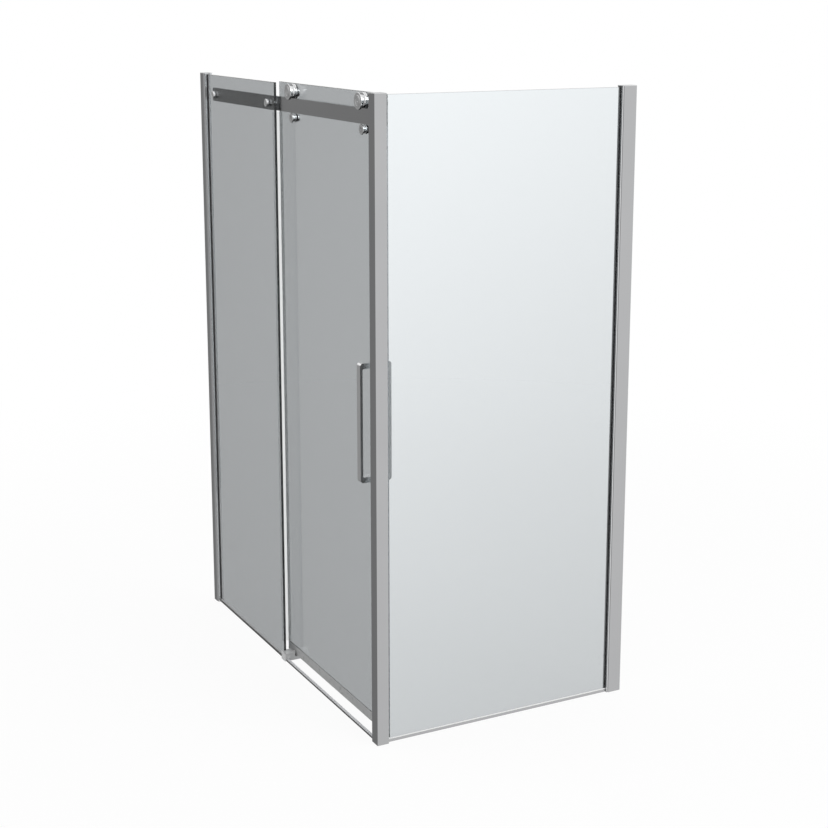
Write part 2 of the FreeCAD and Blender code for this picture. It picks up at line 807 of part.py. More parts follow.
def build_guide():
    """Block at the foot of the fixed pane that holds it and keeps the door upright."""
    block_back = "guide_door - guide_block_gap"
    upstand = "guide_door + glass_thickness + guide_upstand_gap"
    outline = [
        ("-guide_front", "0"),
        (upstand + " + guide_upstand", "0"),
        (upstand + " + guide_upstand", "guide_upstand_height"),
        (upstand, "guide_upstand_height"),
        (upstand, "guide_base_height"),
        (block_back, "guide_base_height"),
        (block_back, "guide_block_height"),
        ("-guide_front", "guide_block_height"),
    ]
    body = extruded("guide_block", "YZ_Plane", "guide_width", [outline])

    def upright_corner(edge):
        return runs_along(edge, 2) and lies_at(edge, y=-value("guide_front"))
    dress(body, "Fillet", "Radius", "guide_corner", upright_corner)
    slot = block("guide_slot", "guide_grip + guide_slot_clearance",
                 "glass_thickness + 2 * guide_slot_clearance", "guide_block_height",
                 "0", "0 - guide_slot_clearance", "sill_base")
    screw_z = "(sill_base + guide_block_height) / 2"
    screw_hole = rod("guide_screw_hole", "guide_screw / 2 + screw_clearance",
                     "guide_front + 1", "guide_grip / 2", "0 - guide_front - 1", screw_z,
                     POINT_ALONG_Y)
    guide = cut("guide_machined", body, [slot, screw_hole])
    node(place(guide, "guide_left_x", "glass_y"), "bottom_guide")

    screw = rod("guide_screw_rod", "guide_screw / 2", "guide_front - guide_slot_clearance - 1",
                "guide_left_x + guide_grip / 2", "glass_y - guide_front + 1", screw_z,
                POINT_ALONG_Y)
    node(screw, "guide_set_screw")

    seal_face = "(seal_wall + guide_pad_play)"
    pads = []
    front_start = "glass_y + " + block_back
    back_start = "glass_y + guide_door + glass_thickness + " + seal_face
    for number, (start, thickness) in enumerate((
            (front_start, "guide_block_gap - " + seal_face),
            (back_start, "guide_upstand_gap - " + seal_face))):
        pads.append(rod("guide_pad_%d" % number, "guide_pad_diameter / 2", thickness,
                        "guide_left_x + guide_width / 2", start, "guide_pad_z",
                        POINT_ALONG_Y))
    node(group("guide_pad_pair", pads), "guide_pads")


# ---- door -----------------------------------------------------------------------------------

def build_door_glass():
    handle_spot = "handle_x + handle_width / 2 - door_rear_x"
    holes = []
    for spot in ("wheel_rear_x", "wheel_front_x"):
        across = spot + " - door_rear_x"
        holes.append((across, "wheel_z - eccentric_offset - door_bottom", "roller_hole / 2"))
        holes.append((across, "spool_z - door_bottom", "glass_hole / 2"))
    for height in ("handle_low_z", "handle_high_z"):
        holes.append((handle_spot, height + " - door_bottom", "glass_hole / 2"))
    glass = pane("door_glass", "door_width", "door_height", holes)
    node(place(glass, "door_rear_x", "door_y", "door_bottom"), "door_glass")


def build_door_seals():
    outside = "glass_thickness + seal_wall"
    middle = "glass_thickness / 2"
    bottom = extruded("door_bottom_seal", "YZ_Plane", "door_width", [[
        ("-seal_wall", "bottom_seal_leg"),
        ("-seal_wall", "0 - seal_base"),
        (middle + " - seal_wall", "0 - seal_base"),
        (middle + " - seal_wall / 2", "0 - seal_base - seal_fin"),
        (middle + " + seal_wall / 2", "0 - seal_base - seal_fin"),
        (middle + " + seal_wall", "0 - seal_base"),
        (outside, "0 - seal_base"),
        (outside, "bottom_seal_leg"),
        ("glass_thickness", "bottom_seal_leg"),
        ("glass_thickness", "0"),
        ("0", "0"),
        ("0", "bottom_seal_leg"),
    ]])
    node(place(bottom, "door_rear_x", "door_y", "door_bottom"), "door_bottom_seal")

    seal_start = "door_bottom + bottom_seal_leg"
    rear_height = "rail_bottom - overlap_seal_drop - (%s)" % seal_start
    rear = extruded("door_overlap_seal", "XY_Plane", rear_height, [[
        ("seal_leg", "-seal_wall"),
        ("seal_wall / 2", "-seal_wall"),
        ("-2 * seal_wall", "0 - overlap_fin"),
        ("-3 * seal_wall", "0 - overlap_fin"),
        ("-seal_wall", "-seal_wall"),
        ("-seal_wall", outside),
        ("seal_leg", outside),
        ("seal_leg", "glass_thickness"),
        ("0", "glass_thickness"),
        ("0", "0"),
        ("seal_leg", "0"),
    ]])
    node(place(rear, "door_rear_x", "door_y", seal_start), "door_overlap_seal")

    lip = "strip_offset - door_behind_post - closing_gap"
    lead = extruded("door_closing_seal", "XY_Plane", "glass_top - (%s)" % seal_start, [[
        ("-seal_leg", "-seal_wall"),
        ("seal_wall", "-seal_wall"),
        (lip, middle + " - seal_wall"),
        (lip, middle + " + seal_wall"),
        ("seal_wall", outside),
        ("-seal_leg", outside),
        ("-seal_leg", "glass_thickness"),
        ("0", "glass_thickness"),
        ("0", "0"),
        ("-seal_leg", "0"),
    ]])
    node(place(lead, "door_lead_x", "door_y", seal_start), "door_closing_seal")


def handle_half(name):
    """Half of the back-to-back pull: a flat bar on two square arms, standing out to -Y."""
    face = "0 - handle_projection"
    inside = "handle_bar - handle_projection"
    top = "handle_length"
    outline = [
        ("0", "0"),
        (face, "0"),
        (face, top),
        ("0", top),
        ("0", top + " - handle_arm"),
        (inside, top + " - handle_arm"),
        (inside, "handle_arm"),
        ("0", "handle_arm"),
    ]
    body = extruded(name + "_bar", "YZ_Plane", "handle_width", [outline])
    front = -value("handle_projection")
    behind = value(inside)
    dress(body, "Fillet", "Radius", "handle_round",
          lambda edge: runs_along(edge, 0) and lies_at(edge, y=front))
    dress(body, "Fillet", "Radius", "handle_inner_round",
          lambda edge: runs_along(edge, 0) and lies_at(edge, y=behind))
    bores = [
        rod("%s_bore_%d" % (name, number), "bolt_diameter / 2 + thread_gap",
            "handle_stud_depth + 1", "handle_width / 2", "0 - handle_stud_depth", height,
            POINT_ALONG_Y)
        for number, height in enumerate(("handle_arm / 2", "handle_length - handle_arm / 2"))
    ]
    return cut(name + "_machined", body, bores)


def build_handle():
    outer = handle_half("handle_outer")
    node(place(outer, "handle_x", "door_y - washer_thickness", "handle_bottom"), "handle_outer")
    inner = handle_half("handle_inner")
    node(place(inner, "handle_x + handle_width", "door_back_y + washer_thickness",
               "handle_bottom", TURN_ABOUT), "handle_inner")
    studs, pads = [], []
    reach = "(handle_stud_depth - edge_break + washer_thickness)"
    middle_x = "handle_x + handle_width / 2"
    for number, height in enumerate(("handle_low_z", "handle_high_z")):
        stud = rod("handle_stud_%d" % number, "bolt_diameter / 2",
                   "glass_thickness + 2 * " + reach, middle_x, "door_y - " + reach, height,
                   POINT_ALONG_Y)
        studs.append(stud)
        for side, back in enumerate(("door_y", "door_back_y + washer_thickness")):
            pad = plate("handle_pad_%d_%d" % (number, side), "handle_width", "handle_arm",
                        "washer_thickness",
                        [("handle_width / 2", "handle_arm / 2", "bolt_diameter / 2 + thread_gap")])
            pads.append(place(pad, "handle_x", back + " - washer_thickness",
                              height + " - handle_arm / 2"))
    node(group("handle_stud_pair", studs), "handle_studs")
    node(group("handle_pad_set", pads), "handle_gaskets")


# ---- rollers --------------------------------------------------------------------------------

def roller_wheel(name):
    """Grooved wheel that straddles the rail; y = 0 is the front of the rail."""
    rim = "flange_diameter / 2"
    shoulder = "flange_diameter / 2 - edge_break"
    tread = "tread_diameter / 2"
    front = "0 - groove_play - front_flange"
    back = "groove_back + rear_flange"
    cap = "wheel_cap_diameter / 2"
    outline = [
        (cap, front),
        (shoulder, front),
        (rim, front + " + edge_break"),
        (rim, "0 - groove_play - edge_break"),
        (shoulder, "0 - groove_play - edge_break / 2"),
        (tread, "0 - groove_play + edge_break / 4"),
        (tread, "groove_back - edge_break / 4"),
        (shoulder, "groove_back + edge_break / 2"),
        (rim, "groove_back + edge_break"),
        (rim, back + " - edge_break"),
        (shoulder, back),
        ("axle_shoulder / 2 + washer_thickness", back),
        ("axle_shoulder / 2 + washer_thickness", "bearing_back"),
        ("bearing_outside / 2", "bearing_back"),
        ("bearing_outside / 2", front + " + wheel_cap_seat"),
        (cap, front + " + wheel_cap_seat"),
    ]
    return turned(name, outline)


def wheel_cap(name):
    """Slightly domed disc that closes the front of the wheel."""
    edge = "wheel_cap_diameter / 2 - thread_gap"
    front = "0 - groove_play - front_flange"
    return turned(name, [
        ("0", front + " - edge_break / 2"),
        ("wheel_cap_diameter / 3", front + " - edge_break / 2"),
        (edge, front + " + edge_break / 4"),
        (edge, front + " + wheel_cap_seat"),
        ("0", front + " + wheel_cap_seat"),
    ])


def bearing_race(name, inner_radius, outer_radius):
    """Ring with the ball track cut into it."""
    ring = turned(name + "_ring", rectangle(inner_radius, "bearing_front",
                                            outer_radius, "bearing_back"))
    track = DOC.addObject("Part::Torus", name + "_track")
    bind(track, Radius1="bearing_pitch", Radius2="ball_diameter / 2 + ball_play")
    place(track, "0", "rail_thickness / 2", "0", POINT_ALONG_Y)
    return cut(name, ring, [track])


def bearing_balls(name):
    """Balls spaced evenly round the track."""
    count = int(value("balls"))
    balls = []
    for number in range(count):
        ball = DOC.addObject("Part::Sphere", "%s_%d" % (name, number))
        bind(ball, Radius="ball_diameter / 2")
        angle = "%d * 360deg / %d" % (number, count)
        place(ball, "bearing_pitch * cos(%s)" % angle, "rail_thickness / 2",
              "bearing_pitch * sin(%s)" % angle)
        balls.append(ball)
    return group(name, balls)


def roller_axle(name):
    """Shoulder bolt that carries the bearing and clamps the door glass."""
    neck = "bearing_bore / 2"
    end = "door_from_rail + glass_thickness + washer_thickness + cap_nut_length / 2"
    return turned(name, [
        ("0", "bearing_front - edge_break * 2"),
        ("axle_head / 2", "bearing_front - edge_break * 2"),
        ("axle_head / 2", "bearing_front"),
        (neck, "bearing_front"),
        (neck, "bearing_back"),
        ("axle_shoulder / 2", "bearing_back"),
        ("axle_shoulder / 2", "back_plate_front"),
        (neck, "back_plate_front"),
        (neck, end),
        ("0", end),
    ])


def cap_nut(name, diameter):
    """Blind round nut on the inside of the glass, with its front at y = 0."""
    bore = "bearing_bore / 2 + thread_gap"
    return turned(name, [
        (bore, "0"),
        (diameter + " / 2", "0"),
        (diameter + " / 2", "cap_nut_length - edge_break * 2"),
        (diameter + " / 2 - edge_break * 2", "cap_nut_length"),
        ("0", "cap_nut_length"),
        ("0", "cap_nut_length * 0.7"),
        (bore, "cap_nut_length * 0.7"),
    ])


def build_rollers():
    axles, races, plates, pads, bushes, nuts = [], [], [], [], [], []
    inside_face = "door_back_y + washer_thickness"
    for side, spot in (("left", "wheel_rear_x"), ("right", "wheel_front_x")):
        at_wheel = (spot, "rail_y", "wheel_z")
        node(place(roller_wheel(side + "_wheel"), *at_wheel), side + "_wheel")
        node(place(wheel_cap(side + "_wheel_cap"), *at_wheel), side + "_wheel_cap")
        outer = bearing_race(side + "_outer_race", "bearing_outside / 2 - race_wall",
                             "bearing_outside / 2")
        node(place(outer, *at_wheel), side + "_bearing_race")
        node(place(bearing_balls(side + "_balls"), *at_wheel), side + "_bearing_balls")

        races.append(place(bearing_race(side + "_inner_race", "bearing_bore / 2",
                                        "bearing_bore / 2 + race_wall"), *at_wheel))
        axles.append(place(roller_axle(side + "_axle"), *at_wheel))
        disc = washer(side + "_back_plate", "back_plate_diameter", "bearing_bore",
                      "door_from_rail - pad_thickness - back_plate_front")
        plates.append(place(disc, spot, "door_y - pad_thickness", "wheel_z"))
        outer_pad = washer(side + "_outer_pad", "back_plate_diameter", "bearing_bore",
                           "pad_thickness")
        pads.append(place(outer_pad, spot, "door_y", "wheel_z"))
        inner_pad = washer(side + "_inner_pad", "cap_nut_diameter", "bearing_bore",
                           "washer_thickness")
        pads.append(place(inner_pad, spot, inside_face, "wheel_z"))
        bush_disc = rod(side + "_bush_disc", "roller_hole / 2 - screw_clearance",
                        "glass_thickness", "0", "0", "0 - eccentric_offset", POINT_ALONG_Y)
        bush_bore = rod(side + "_bush_bore", "bearing_bore / 2", "3 * glass_thickness",
                        "0", "0 - glass_thickness", "0", POINT_ALONG_Y)
        bush = cut(side + "_bush", bush_disc, [bush_bore])
        bushes.append(place(bush, spot, "door_y", "wheel_z"))
        nuts.append(place(cap_nut(side + "_cap_nut", "cap_nut_diameter"),
                          spot, inside_face, "wheel_z"))
    node(group("axle_pair", axles), "roller_axles")
    node(group("inner_race_pair", races), "roller_inner_races")
    node(group("back_plate_pair", plates), "roller_back_plates")
    node(group("roller_pad_set", pads), "roller_gaskets")
    node(group("bush_pair", bushes), "eccentric_bushes")
    node(group("cap_nut_pair", nuts), "roller_cap_nuts")


# ---- anti-lift spools -----------------------------------------------------------------------

def build_spools():
    """Spools on the door that sit just under the rail and stop the wheels lifting off."""
    spools, bolts, pads, nuts = [], [], [], []
    bore = "bolt_diameter / 2 + thread_gap"
    seat = "bolt_head / 2 + thread_gap"
    recess = "pad_thickness - spool_reach"
    for number, spot in enumerate(("wheel_rear_x", "wheel_front_x")):
        spool = turned("spool_%d" % number, [
            (seat, "0 - spool_reach"),
            ("spool_diameter / 2 - edge_break", "0 - spool_reach"),
            ("spool_diameter / 2", "edge_break - spool_reach"),
            ("spool_diameter / 2", recess),
            ("spool_neck / 2", recess + " + edge_break"),
            ("spool_neck / 2", "0 - pad_thickness * 2"),
            ("spool_flange / 2", "0 - pad_thickness * 1.6"),
            ("spool_flange / 2", "0 - pad_thickness"),
            (bore, "0 - pad_thickness"),
            (bore, recess),
            (seat, recess),
        ])
        spools.append(place(spool, spot, "door_y", "spool_z"))
        end = "glass_thickness + washer_thickness + cap_nut_length / 2"
        bolt = turned("spool_bolt_%d" % number, [
            ("0", "edge_break / 2 - spool_reach"),
            ("bolt_head / 2", "edge_break / 2 - spool_reach"),
            ("bolt_head / 2", recess),
            ("bolt_diameter / 2", recess),
            ("bolt_diameter / 2", end),
            ("0", end),
        ])
        bolts.append(place(bolt, spot, "door_y", "spool_z"))
        outer_pad = washer("spool_pad_%d" % number, "spool_flange",
                           "(bolt_diameter + 2 * screw_clearance)", "pad_thickness")
        pads.append(place(outer_pad, spot, "door_y", "spool_z"))
        inner_pad = washer("spool_inner_pad_%d" % number, "spool_cap_nut",
                           "(bolt_diameter + 2 * screw_clearance)", "washer_thickness")
        pads.append(place(inner_pad, spot, "door_back_y + washer_thickness", "spool_z"))
        nut = cap_nut("spool_cap_nut_%d" % number, "spool_cap_nut")
        nuts.append(place(nut, spot, "door_back_y + washer_thickness", "spool_z"))
    node(group("spool_pair", spools), "anti_lift_spools")
    node(group("spool_bolt_pair", bolts), "anti_lift_bolts")
    node(group("spool_pad_set", pads), "anti_lift_gaskets")
    node(group("spool_nut_pair", nuts), "anti_lift_cap_nuts")


# ---- the whole enclosure --------------------------------------------------------------------

def build():
    far_nose_y = "(profile_width - profile_nose / 2)"
    near_nose_y = "(profile_nose / 2)"
    build_wall_side("front", "left_x", "front_y", None, far_nose_y)
    build_wall_side("side", "right_x - channel_width", "back_y", TURN_TO_X,
                    near_nose_y)
    build_fixed_glass()
    build_side_glass()
    build_sills()
    build_threshold()
    build_post()
    build_closing_strip()
    build_rail()
    build_knobs()
    build_guide()
    build_door_glass()
    build_door_seals()
    build_handle()
    build_rollers()
    build_spools()
    DOC.recompute()


def check_and_export():
    for item in DOC.Objects:
        if "Invalid" in item.State or "Error" in item.State:
            raise RuntimeError("%s (%s) did not build" % (item.Name, item.Label))
    for item in NODES:
        if item.Shape.isNull() or not item.Shape.isValid() or not item.Shape.Solids:
            raise RuntimeError("%s has no valid solid" % item.Label)
    os.makedirs("parts", exist_ok=True)
    for item in NODES:
        item.Shape.exportStep("parts/%s.step" % item.Label)
        print(item.Label, len(item.Shape.Solids), round(item.Shape.Volume, 1))


build()
check_and_export()
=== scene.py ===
import bmesh
import bpy
import json
import math
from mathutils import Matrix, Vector


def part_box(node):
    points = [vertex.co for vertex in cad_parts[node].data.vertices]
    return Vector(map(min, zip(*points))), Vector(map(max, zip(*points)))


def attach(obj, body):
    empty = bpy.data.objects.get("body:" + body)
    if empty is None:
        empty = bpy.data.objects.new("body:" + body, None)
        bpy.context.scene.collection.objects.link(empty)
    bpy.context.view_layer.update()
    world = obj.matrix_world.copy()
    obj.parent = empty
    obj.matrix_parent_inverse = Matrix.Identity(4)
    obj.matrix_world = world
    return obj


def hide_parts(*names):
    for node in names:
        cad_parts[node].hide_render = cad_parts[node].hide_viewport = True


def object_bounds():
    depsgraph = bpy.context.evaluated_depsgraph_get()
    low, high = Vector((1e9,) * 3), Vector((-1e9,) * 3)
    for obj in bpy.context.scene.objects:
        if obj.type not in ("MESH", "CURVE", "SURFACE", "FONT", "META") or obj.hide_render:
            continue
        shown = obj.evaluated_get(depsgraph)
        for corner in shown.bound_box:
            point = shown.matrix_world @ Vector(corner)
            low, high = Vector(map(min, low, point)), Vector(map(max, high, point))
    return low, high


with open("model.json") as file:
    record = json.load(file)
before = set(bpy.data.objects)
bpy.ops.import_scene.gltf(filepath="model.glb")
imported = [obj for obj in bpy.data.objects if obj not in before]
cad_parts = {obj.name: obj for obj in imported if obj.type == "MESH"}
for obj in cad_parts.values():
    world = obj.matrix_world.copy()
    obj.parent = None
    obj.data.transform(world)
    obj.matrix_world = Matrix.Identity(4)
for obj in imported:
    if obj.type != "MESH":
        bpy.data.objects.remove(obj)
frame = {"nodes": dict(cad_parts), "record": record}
CAD_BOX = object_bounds()
NODES = frame["nodes"]
RECORD = frame["record"]

MM = 0.001
TOP = CAD_BOX[1][2]

# The camera that fits the photograph is level and shifted far down. Here most of that shift is
# a downward tilt, so that views from other sides keep the whole object in the picture.
CAMERA_PLACE = (4.742, -2.433, 2.214)
CAMERA_TURN = math.radians(62.42)
CAMERA_TILT = math.radians(12.29)
CAMERA_LENS = 70.35
CAMERA_SENSOR = 36.0
CAMERA_SHIFT = -0.08

# The studio's light, as a share of the white backdrop's. BRIGHT_SIDE is the horizontal direction
# from the enclosure to the bright side, and the edges are parts of a direction: how far it points
# to that side, or up.
BRIGHT_SIDE = (0.876, 0.482, 0.0)
SIDE_EDGE = 0.75
OVERHEAD_EDGE = 0.3
LOW_EDGE = -0.6
GROUND_EDGES = (-0.7, -0.42)
ROOM_LIGHT = 0.75
DARK_SIDE_LIGHT = 0.3
LOW_LIGHT = 0.9
GROUND_LIGHT = 0.12
WHITE = (1.0, 1.0, 1.0, 1.0)

# The floor, in metres. Near the object a share of NEAR_GLOW of what the camera sees of it is
# plain white and the rest is shaded paint; from SHADOW_FAR on all of it is white.
FLOOR_REACH = 60.0
FLOOR_DROP = 0.0006
FLOOR_PAINT = (0.86, 0.86, 0.86, 1.0)
SHADOW_NEAR = 1.2
SHADOW_FAR = 4.0
NEAR_GLOW = 0.93

# Depth of the grain in metres, and where a noise counts as dark, light, glossy or rough.
METAL_GRAIN = 0.00005
MOULDED_GRAIN = 0.0001
DARK_NOISE = 0.35
LIGHT_NOISE = 0.65
GLOSSY_NOISE = 0.3
ROUGH_NOISE = 0.7

# A face looks up where its normal's Z is past these; there its tint is painted paler, as painted
# light, and it is rougher by this much.
LEVEL_EDGES = (0.6, 0.95)
UPWARD_ROUGHNESS = 0.45

# How much light the glass lets through at its foot and top, seen square on and at a slant. Square
# on, the darker foot is painted shade; at a slant, the lighter foot is painted light that evens out
# the shaded floor seen through it.
SQUARE_CLEAR = (0.635, 0.92)
SLANTED_CLEAR = (0.33, 0.25)
SLANT_EDGES = (0.12, 0.52)
GLASS_RED = 0.96
GLASS_BLUE = 1.02

# Nodes that look different from the material slot that the record gives them.
LOOKS = {
    "top_rail": "satin_rail",
    "door_bottom_seal": "frosted_vinyl",
    "side_post_gasket": "grey_rubber",
    "door_threshold": "extrusion_x",
    "fixed_glass_sill": "extrusion_x",
    "side_glass_sill": "extrusion_y",
    "handle_outer": "satin_handle",
    "handle_inner": "handle_inside_painted_shade",
    "front_adjusting_profile": "polished_profile",
    "side_adjusting_profile": "polished_profile",
}

# Sides of a turned form, and the angle from which an edge is drawn sharp.
SIDES = 64
SHARP_ANGLE = math.radians(28)

OUTWARD = (0.0, -1.0, 0.0)
INWARD = (0.0, 1.0, 0.0)
RIGHTWARD = (1.0, 0.0, 0.0)

# Sizes of the screws in mm; shank and head are radii.
LOCK_SCREW = {"shank": 1.25, "head": 2.6, "length": 9, "head_height": 1.75}
RAIL_SCREW = {"shank": 2, "head": 4, "head_height": 2}

# Place of the round cover on the guide's end, in mm from its front and its foot.
COVER_BACK = 20
COVER_HEIGHT = 15.5

# How far an edge is rounded and a soft face drawn back, in mm.
EDGE_BREAK = 0.4
EDGE_ANGLE = math.radians(50)
HAIR_GAP = 0.04


# ---- node helpers ---------------------------------------------------------------------------

class Nodes:
    """Adds nodes to one material or world, and links them as they are named."""

    def __init__(self, tree):
        self.tree = tree
        tree.nodes.clear()

    def feed(self, socket, source):
        """Link a socket to another node's, or set its plain value."""
        if isinstance(source, bpy.types.NodeSocket):
            self.tree.links.new(source, socket)
        else:
            socket.default_value = source

    def add(self, kind, settings=None, **inputs):
        """Add a node. An input is named, with _ for a space, or numbered: in0, in1 and so on."""
        item = self.tree.nodes.new(kind)
        for name, setting in (settings or {}).items():
            setattr(item, name, setting)
        for name, source in inputs.items():
            numbered = name.startswith("in") and name[2:].isdigit()
            key = int(name[2:]) if numbered else name.replace("_", " ")
            self.feed(item.inputs[key], source)
        return item

    def math(self, operation, first, second):
        item = self.add("ShaderNodeMath", {"operation": operation}, in0=first, in1=second)
        return item.outputs[0]

    def blend(self, factor, first, second):
        """Mix of two numbers."""
        item = self.add("ShaderNodeMix", {"data_type": "FLOAT"}, in0=factor, in2=first, in3=second)
        return item.outputs[0]

    def spread(self, source, low, high, to_low=0.0, to_high=1.0, smooth=False):
        """Map one range onto another."""
        item = self.add("ShaderNodeMapRange",
                        {"interpolation_type": "SMOOTHSTEP" if smooth else "LINEAR"},
                        in0=source, in1=low, in2=high, in3=to_low, in4=to_high)
        return item.outputs[0]

    def ramp(self, factor, *stops):
        """Colour that runs through stops of (place, colour)."""
        item = self.add("ShaderNodeValToRGB", in0=factor)
        elements = item.color_ramp.elements
        while len(elements) < len(stops):
            elements.new(0.5)
        for element, (place, colour) in zip(elements, stops):
            element.position = place
            element.color = (*colour, 1.0)
        return item.outputs[0]

    def ray_kinds(self):
        """Whether a ray comes straight from the camera or through glass, and if it was mirrored."""
        path = self.add("ShaderNodeLightPath")
        direct = self.math("MAXIMUM", path.outputs["Is Camera Ray"],
                           path.outputs["Is Transmission Ray"])
        mirrored = self.math("GREATER_THAN", path.outputs["Glossy Depth"], 0.5)
        return direct, mirrored


# ---- camera, world, floor and lamps ---------------------------------------------------------

def make_camera():
    data = bpy.data.cameras.new("camera")
    data.lens = CAMERA_LENS
    data.sensor_width = CAMERA_SENSOR
    data.shift_y = CAMERA_SHIFT
    camera = bpy.data.objects.new("camera", data)
    camera.location = CAMERA_PLACE
    camera.rotation_euler = (math.pi / 2 - CAMERA_TILT, 0.0, CAMERA_TURN)
    bpy.context.scene.collection.objects.link(camera)
    bpy.context.scene.camera = camera


def make_world():
    """White backdrop; a soft room that is bright on one side for what metal and glass reflect."""
    world = bpy.data.worlds.new("studio")
    bpy.context.scene.world = world
    world.use_nodes = True
    world.cycles.sampling_method = "NONE"
    nodes = Nodes(world.node_tree)
    direct, mirrored = nodes.ray_kinds()
    direction = nodes.add("ShaderNodeTexCoord").outputs["Generated"]
    side = nodes.add("ShaderNodeVectorMath", {"operation": "DOT_PRODUCT"},
                     in0=direction, in1=BRIGHT_SIDE).outputs["Value"]
    height = nodes.add("ShaderNodeSeparateXYZ", in0=direction).outputs["Z"]
    round_room = nodes.spread(side, -SIDE_EDGE, SIDE_EDGE, DARK_SIDE_LIGHT, 1.0, smooth=True)
    overhead = nodes.spread(height, 0.0, OVERHEAD_EDGE, 0.0, 1.0, smooth=True)
    below = nodes.spread(height, LOW_EDGE, 0.0, LOW_LIGHT, 1.0, smooth=True)
    ground = nodes.spread(height, *GROUND_EDGES, GROUND_LIGHT, 1.0, smooth=True)
    level_room = nodes.math("MULTIPLY", nodes.math("MULTIPLY", round_room, below), ground)
    reflected = nodes.blend(overhead, level_room, 1.0)
    plain = nodes.blend(direct, ROOM_LIGHT, 1.0)
    strength = nodes.blend(mirrored, plain, reflected)
    background = nodes.add("ShaderNodeBackground", Color=WHITE, Strength=strength)
    nodes.add("ShaderNodeOutputWorld", Surface=background.outputs[0])


def floor_material():
    """Pale paint that fades into white with distance and isn't there for mirrored rays."""
    material = bpy.data.materials.new("floor")
    material.use_nodes = True
    material.cycles.emission_sampling = "NONE"
    nodes = Nodes(material.node_tree)
    direct, mirrored = nodes.ray_kinds()
    place = nodes.add("ShaderNodeNewGeometry").outputs["Position"]
    distance = nodes.add("ShaderNodeVectorMath", {"operation": "LENGTH"},
                         in0=place).outputs["Value"]
    far = nodes.spread(distance, SHADOW_NEAR, SHADOW_FAR, NEAR_GLOW, 1.0, smooth=True)
    paint = nodes.add("ShaderNodeBsdfDiffuse", Color=FLOOR_PAINT)
    glow = nodes.add("ShaderNodeEmission", Color=WHITE, Strength=1.0)
    seen = nodes.add("ShaderNodeMixShader", in0=nodes.math("MULTIPLY", direct, far),
                     in1=paint.outputs[0], in2=glow.outputs[0])
    unseen = nodes.add("ShaderNodeBsdfTransparent")
    mixed = nodes.add("ShaderNodeMixShader", in0=mirrored, in1=seen.outputs[0],
                      in2=unseen.outputs[0])
    nodes.add("ShaderNodeOutputMaterial", Surface=mixed.outputs[0])
    return material


def make_floor():
    """Floor that keeps a soft shadow near the object."""
    mesh = bpy.data.meshes.new("floor")
    reach = FLOOR_REACH
    corners = [(-reach, -reach, 0), (reach, -reach, 0), (reach, reach, 0), (-reach, reach, 0)]
    mesh.from_pydata(corners, [], [(0, 1, 2, 3)])
    floor = bpy.data.objects.new("floor", mesh)
    floor.location = (0.0, 0.0, -FLOOR_DROP)
    floor.visible_glossy = False
    bpy.context.scene.collection.objects.link(floor)
    mesh.materials.append(floor_material())


def make_lamp(name, place, target, size, power, glossy=True):
    """Square area lamp that shines from its place at the target."""
    data = bpy.data.lights.new(name, "AREA")
    data.shape = "SQUARE"
    data.size = size
    data.energy = power
    lamp = bpy.data.objects.new(name, data)
    lamp.location = place
    aim = Vector(target) - Vector(place)
    lamp.rotation_euler = aim.to_track_quat("-Z", "Y").to_euler()
    lamp.visible_glossy = glossy
    bpy.context.scene.collection.objects.link(lamp)


# ---- materials ------------------------------------------------------------------------------

def principled(name, **inputs):
    """A material with one Principled shader whose plain values are set; returns its parts."""
    material = bpy.data.materials.new(name)
    material.use_nodes = True
    nodes = Nodes(material.node_tree)
    shader = nodes.add("ShaderNodeBsdfPrincipled", **inputs)
    nodes.add("ShaderNodeOutputMaterial", Surface=shader.outputs[0])
    return material, nodes, shader


def varied(nodes, noise, colour, variation):
    """Colour that gets darker and lighter by a share, as a noise says."""
    dark = tuple(part * (1 - variation) for part in colour)
    light = tuple(min(1.0, part * (1 + variation)) for part in colour)
    return nodes.ramp(noise, (DARK_NOISE, dark), (LIGHT_NOISE, light))


def finish_surface(nodes, shader, tint, rough, bump, depth, grain):
    """Lead a varying tint, roughness and fine grain into a shader."""
    lift = nodes.add("ShaderNodeBump", Strength=bump, Distance=depth, Height=grain)
    nodes.feed(shader.inputs["Base Color"], tint)
    nodes.feed(shader.inputs["Roughness"], rough)
    nodes.feed(shader.inputs["Normal"], lift.outputs[0])


def metal(name, colour, roughness, variation, grain, bump, painted_top_light=0.0):
    """Metal whose tone, gloss and fine grain vary; grain is the texture's scale along X, Y, Z.

    With a share given, faces that look up are painted paler by that share, as painted light, and
    rougher.
    """
    material, nodes, shader = principled(name, Metallic=1.0)
    place = nodes.add("ShaderNodeTexCoord").outputs["Object"]
    stretched = nodes.add("ShaderNodeMapping", in0=place, in3=grain).outputs[0]
    fine = nodes.add("ShaderNodeTexNoise", in0=stretched, Scale=1.0, Detail=4.0,
                     Roughness=0.6).outputs[0]
    broad = nodes.add("ShaderNodeTexNoise", in0=place, Scale=5.0, Detail=2.0).outputs[0]
    tone = nodes.math("ADD", nodes.math("MULTIPLY", fine, 0.5),
                      nodes.math("MULTIPLY", broad, 0.5))
    tint = varied(nodes, tone, colour, variation)
    rough = nodes.spread(tone, GLOSSY_NOISE, ROUGH_NOISE, roughness * 0.8, roughness * 1.2)
    # Painted light: faces that look up get a paler tint than the rest.
    if painted_top_light:
        normal = nodes.add("ShaderNodeNewGeometry").outputs["Normal"]
        level = nodes.add("ShaderNodeSeparateXYZ", in0=normal).outputs["Z"]
        upward = nodes.spread(level, *LEVEL_EDGES)
        painted_light_gain = nodes.spread(upward, 0.0, 1.0, 1.0, 1.0 + painted_top_light)
        tint = nodes.add("ShaderNodeVectorMath", {"operation": "SCALE"}, in0=tint,
                         Scale=painted_light_gain).outputs[0]
        rough = nodes.math("ADD", rough, nodes.math("MULTIPLY", upward, UPWARD_ROUGHNESS))
    finish_surface(nodes, shader, tint, rough, bump, METAL_GRAIN, fine)
    return material


